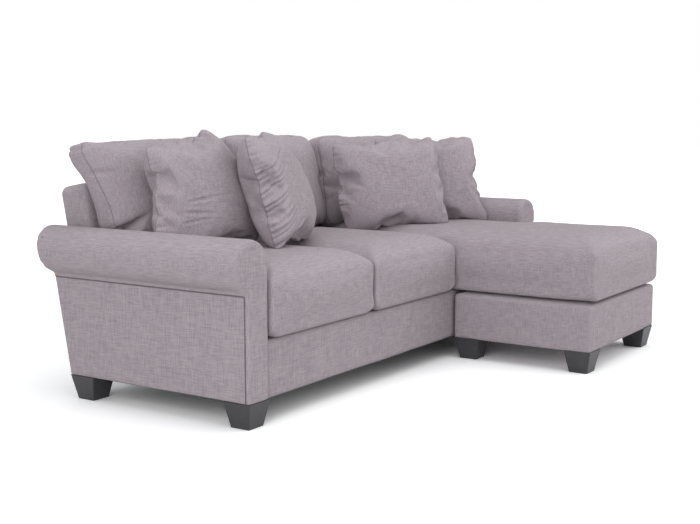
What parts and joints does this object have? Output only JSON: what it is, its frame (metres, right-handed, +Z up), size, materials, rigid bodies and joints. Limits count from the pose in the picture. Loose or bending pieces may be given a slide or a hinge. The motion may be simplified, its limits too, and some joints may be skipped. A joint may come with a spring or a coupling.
{
  "type": "sectional sofa with chaise",
  "caption": "Upholstered sofa with rolled arms, loose seat and back cushions and throw pillows; an L-shaped cushion over a movable ottoman makes the chaise. Tapered block feet.",
  "frame": {"origin": "on the floor, under the middle of the bounding box of the whole sofa with its ottoman", "axes": "+X along the sofa towards the chaise end (to the right for a viewer who faces the seat), +Y towards the back, +Z up"},
  "size_m": [2.264, 1.584, 0.9731],
  "materials": {
    "linen": "linen-look slub weave, matte, pale lavender grey",
    "feet": "charcoal satin lacquer",
    "wood": "sawn softwood and plywood, raw",
    "bent_board": "bent hardboard, raw",
    "steel": "drawn spring wire and zinc-plated fasteners",
    "webbing": "woven elastic strap",
    "foam": "open-cell foam and wadding",
    "dust_cloth": "thin non-woven cloth"
  },
  "bodies": {
    "sofa_frame": {"front_rail": "wood", "back_rail": "wood", "side_rail_left": "wood", "side_rail_right": "wood", "cross_members": "wood", "corner_blocks": "wood", "arm_front_board_left": "wood", "arm_front_board_right": "wood", "arm_back_board_left": "wood", "arm_back_board_right": "wood", "arm_inner_rail_left": "wood", "arm_inner_rail_right": "wood", "arm_roll_form_left": "bent_board", "arm_roll_form_right": "bent_board", "back_posts": "wood", "back_top_rail": "wood", "back_webbing": "webbing", "seat_springs": "steel", "spring_clips": "steel", "deck_pad": "foam", "deck_cover": "linen", "arm_cover_left": "linen", "arm_cover_right": "linen", "arm_outside_panel_left": "linen", "arm_outside_panel_right": "linen", "front_border_cover": "linen", "back_cover": "linen", "sofa_dust_cover": "dust_cloth", "sofa_foot_front_left": "feet", "sofa_foot_front_right": "feet", "sofa_foot_back_left": "feet", "sofa_foot_back_right": "feet", "sofa_foot_bolts": "steel"},
    "ottoman": {"ottoman_front_rail": "wood", "ottoman_back_rail": "wood", "ottoman_rail_left": "wood", "ottoman_rail_right": "wood", "ottoman_corner_blocks": "wood", "ottoman_springs": "steel", "ottoman_pad": "foam", "ottoman_cover": "linen", "ottoman_dust_cover": "dust_cloth", "ottoman_foot_front_left": "feet", "ottoman_foot_front_right": "feet", "ottoman_foot_back_left": "feet", "ottoman_foot_back_right": "feet", "ottoman_foot_bolts": "steel"},
    "seat_cushion_left_unit": {"seat_cushion_left": "linen", "seat_foam_left": "foam"},
    "seat_cushion_middle_unit": {"seat_cushion_middle": "linen", "seat_foam_middle": "foam"},
    "chaise_cushion_unit": {"chaise_cushion": "linen", "chaise_foam": "foam"},
    "back_cushion_left_unit": {"back_cushion_left": "linen"},
    "back_cushion_middle_unit": {"back_cushion_middle": "linen"},
    "back_cushion_right_unit": {"back_cushion_right": "linen"},
    "pillow_left_unit": {"pillow_left": "linen"},
    "pillow_left_front_unit": {"pillow_left_front": "linen"},
    "pillow_right_front_unit": {"pillow_right_front": "linen"},
    "pillow_right_unit": {"pillow_right": "linen"}
  },
  "joints": [
    {"name": "ottoman_pull_out", "type": "slide", "parent": "sofa_frame", "child": "ottoman", "axis": [0, -1, 0], "range_m": [0, 0.6]},
    {"name": "seat_cushion_left_pull_out", "type": "slide", "parent": "sofa_frame", "child": "seat_cushion_left_unit", "axis": [0, -1, 0], "range_m": [0, 0.3]},
    {"name": "seat_cushion_middle_pull_out", "type": "slide", "parent": "sofa_frame", "child": "seat_cushion_middle_unit", "axis": [0, -1, 0], "range_m": [0, 0.3]},
    {"name": "chaise_cushion_pull_out", "type": "slide", "parent": "sofa_frame", "child": "chaise_cushion_unit", "axis": [0, -1, 0], "range_m": [0, 0.3]},
    {"name": "back_cushion_left_lift", "type": "slide", "parent": "sofa_frame", "child": "back_cushion_left_unit", "axis": [0, 0.1867, 0.9824], "range_m": [0, 0.35]},
    {"name": "back_cushion_middle_lift", "type": "slide", "parent": "sofa_frame", "child": "back_cushion_middle_unit", "axis": [0, 0.1867, 0.9824], "range_m": [0, 0.35]},
    {"name": "back_cushion_right_lift", "type": "slide", "parent": "sofa_frame", "child": "back_cushion_right_unit", "axis": [0, 0.1867, 0.9824], "range_m": [0, 0.35]},
    {"name": "pillow_left_lift", "type": "slide", "parent": "sofa_frame", "child": "pillow_left_unit", "axis": [0, 0, 1], "range_m": [0, 0.35]},
    {"name": "pillow_left_front_lift", "type": "slide", "parent": "pillow_left_unit", "child": "pillow_left_front_unit", "axis": [0, 0, 1], "range_m": [0, 0.35]},
    {"name": "pillow_right_lift", "type": "slide", "parent": "sofa_frame", "child": "pillow_right_unit", "axis": [0, 0, 1], "range_m": [0, 0.35]},
    {"name": "pillow_right_front_lift", "type": "slide", "parent": "pillow_right_unit", "child": "pillow_right_front_unit", "axis": [0, 0, 1], "range_m": [0, 0.35]}
  ]
}
